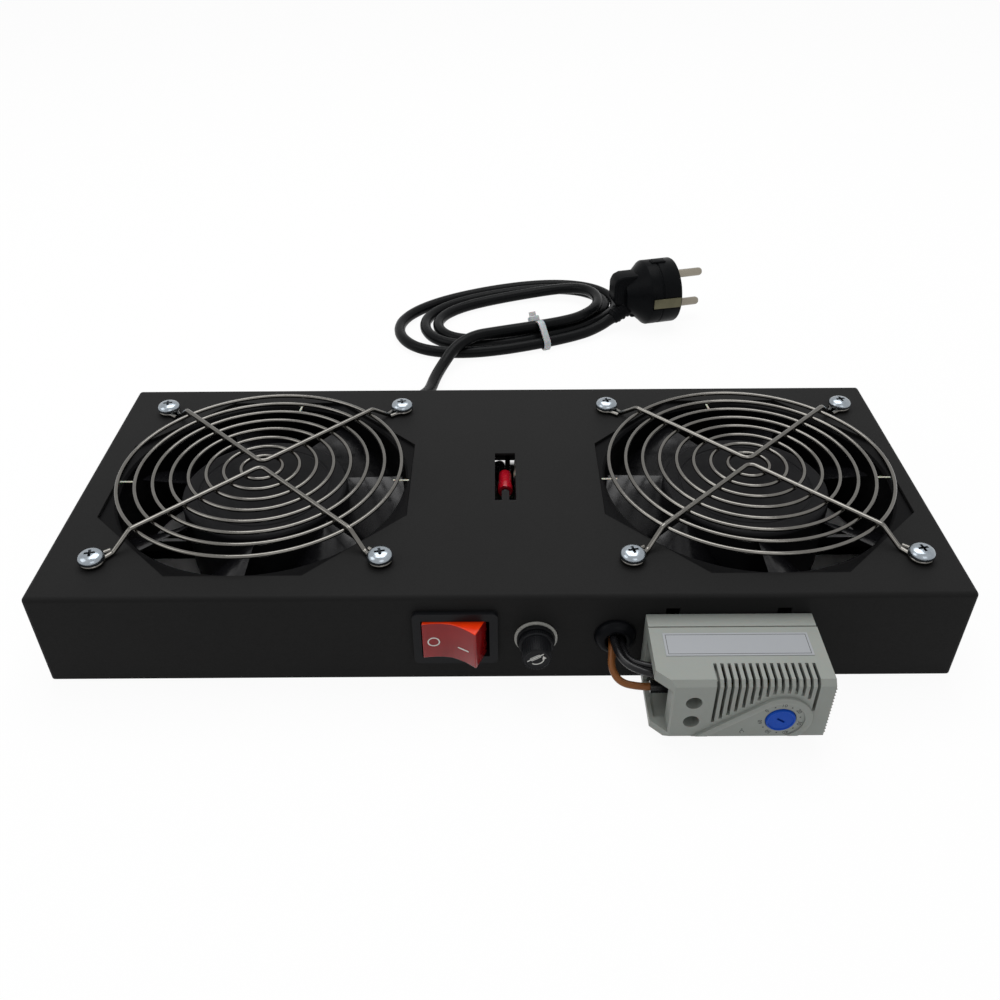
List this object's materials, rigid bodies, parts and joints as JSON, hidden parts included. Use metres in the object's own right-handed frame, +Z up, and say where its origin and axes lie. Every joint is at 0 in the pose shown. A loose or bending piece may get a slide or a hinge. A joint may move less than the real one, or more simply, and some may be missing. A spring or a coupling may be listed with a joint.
{
  "type": "rack fan tray",
  "caption": "Folded steel rack fan tray with finger-guarded axial fans, lit rocker switch, fuse holder, clip-on thermostat and coiled mains lead.",
  "frame": {"origin": "middle of the footprint of the tray with its thermostat, on the surface that the flange rims rest on", "axes": "+X along the tray to the thermostat's end, +Y to the rear where the mains lead leaves, +Z up through the plate"},
  "size_m": [0.336, 0.3768, 0.0482],
  "materials": {
    "powder_black": "fine-texture black powder coat on folded steel sheet",
    "cast_black": "black coated die-cast aluminium fan frame",
    "impeller_plastic": "black moulded plastic",
    "steel": "plain steel",
    "laminations": "stacked electrical steel",
    "copper": "enamelled copper wire",
    "bearing_bronze": "sintered bronze",
    "guard_nickel": "bright nickel-plated wire",
    "zinc": "bright zinc-plated steel",
    "tin": "tinned brass tabs",
    "black_nylon": "black moulded nylon",
    "red_translucent": "red translucent polycarbonate",
    "clear_glass": "clear glass",
    "brass": "brass",
    "grey_fibre": "grey washer",
    "black_rubber": "black rubber",
    "thermostat_grey": "grey-green moulded plastic",
    "label_silver": "bare silver-grey label",
    "dial_blue": "blue moulded plastic",
    "pvc_brown": "brown PVC insulation",
    "pvc_black": "black PVC insulation",
    "pvc_grey": "grey PVC insulation",
    "splice_red": "red vinyl crimp sleeve",
    "splice_clear": "pale grey nylon crimp sleeve",
    "tie_white": "natural white nylon",
    "plug_pvc": "black moulded PVC",
    "nickel_pins": "nickel-plated brass",
    "bimetal": "bimetal strip"
  },
  "bodies": {
    "tray": {"bimetal_strip": "bimetal", "cable_tie": "tie_white", "cord_coil": "pvc_black", "cord_gland": "black_rubber", "crimp_splice_clear": "splice_clear", "crimp_splice_red": "splice_red", "earth_lug": "tin", "earth_nut": "zinc", "fan_leads": "pvc_black", "fan_left_bearings": "bearing_bronze", "fan_left_finger_guard": "guard_nickel", "fan_left_frame": "cast_black", "fan_left_spider": "cast_black", "fan_right_bearings": "bearing_bronze", "fan_right_finger_guard": "guard_nickel", "fan_right_frame": "cast_black", "fan_right_spider": "cast_black", "fan_stator_cores": "laminations", "fan_terminals": "tin", "fan_windings": "copper", "fuse_holder_body": "black_nylon", "fuse_nut": "zinc", "fuse_terminals": "tin", "fuse_washer": "grey_fibre", "grommet": "black_rubber", "guard_screws": "zinc", "lead_brown": "pvc_brown", "lead_grey": "pvc_grey", "lead_sleeve": "pvc_black", "leads_black": "pvc_black", "mains_cord": "pvc_black", "mains_cores": "pvc_brown", "plug_body": "plug_pvc", "plug_earth_contacts": "brass", "plug_pins": "nickel_pins", "snap_contact": "brass", "switch_housing": "black_nylon", "switch_terminals": "tin", "terminal_clamps": "brass", "terminal_screws": "zinc", "thermostat_base": "thermostat_grey", "thermostat_cover": "thermostat_grey", "thermostat_label": "label_silver", "tray_shell": "powder_black"},
    "left_impeller": {"fan_left_impeller": "impeller_plastic", "fan_left_rotor_ring": "steel", "fan_left_shaft": "steel", "fan_left_retaining_clip": "steel"},
    "right_impeller": {"fan_right_impeller": "impeller_plastic", "fan_right_rotor_ring": "steel", "fan_right_shaft": "steel", "fan_right_retaining_clip": "steel"},
    "rocker": {"rocker": "red_translucent", "switch_lamp": "clear_glass"},
    "switch_contact": {"switch_contact": "brass"},
    "fuse_carrier": {"fuse_glass": "clear_glass", "fuse_end_caps": "tin"},
    "fuse_cap": {"fuse_cap": "black_nylon"},
    "dial": {"thermostat_dial": "dial_blue", "dial_spindle": "steel"}
  },
  "joints": [
    {"name": "left_fan_spin", "type": "hinge", "parent": "tray", "child": "left_impeller", "pos_m": [-0.0961, 0.0171, 0.0188], "axis": [0, 0, 1], "continuous": true},
    {"name": "right_fan_spin", "type": "hinge", "parent": "tray", "child": "right_impeller", "pos_m": [0.1009, 0.0171, 0.0188], "axis": [0, 0, 1], "continuous": true},
    {"name": "rocker_tilt", "type": "hinge", "parent": "tray", "child": "rocker", "pos_m": [-0.0161, -0.0529, 0.0214], "axis": [0, 0, 1], "range_deg": [0, 32]},
    {"name": "contact_tilt", "type": "hinge", "parent": "tray", "child": "switch_contact", "pos_m": [-0.0161, -0.0439, 0.0214], "axis": [0, 0, 1], "range_deg": [-16, 0]},
    {"name": "fuse_draw", "type": "slide", "parent": "tray", "child": "fuse_carrier", "axis": [0, -1, 0], "range_m": [0, 0.03]},
    {"name": "fuse_cap_turn", "type": "hinge", "parent": "fuse_carrier", "child": "fuse_cap", "pos_m": [0.0128, -0.0549, 0.0204], "axis": [0, -1, 0], "range_deg": [-90, 0]},
    {"name": "dial_turn", "type": "hinge", "parent": "tray", "child": "dial", "pos_m": [0.0942, -0.0882, 0.0144], "axis": [0, -1, 0], "range_deg": [-120, 150]}
  ],
  "couplings": [
    {"joint": "contact_tilt", "follows": "rocker_tilt", "ratio": -0.5}
  ]
}
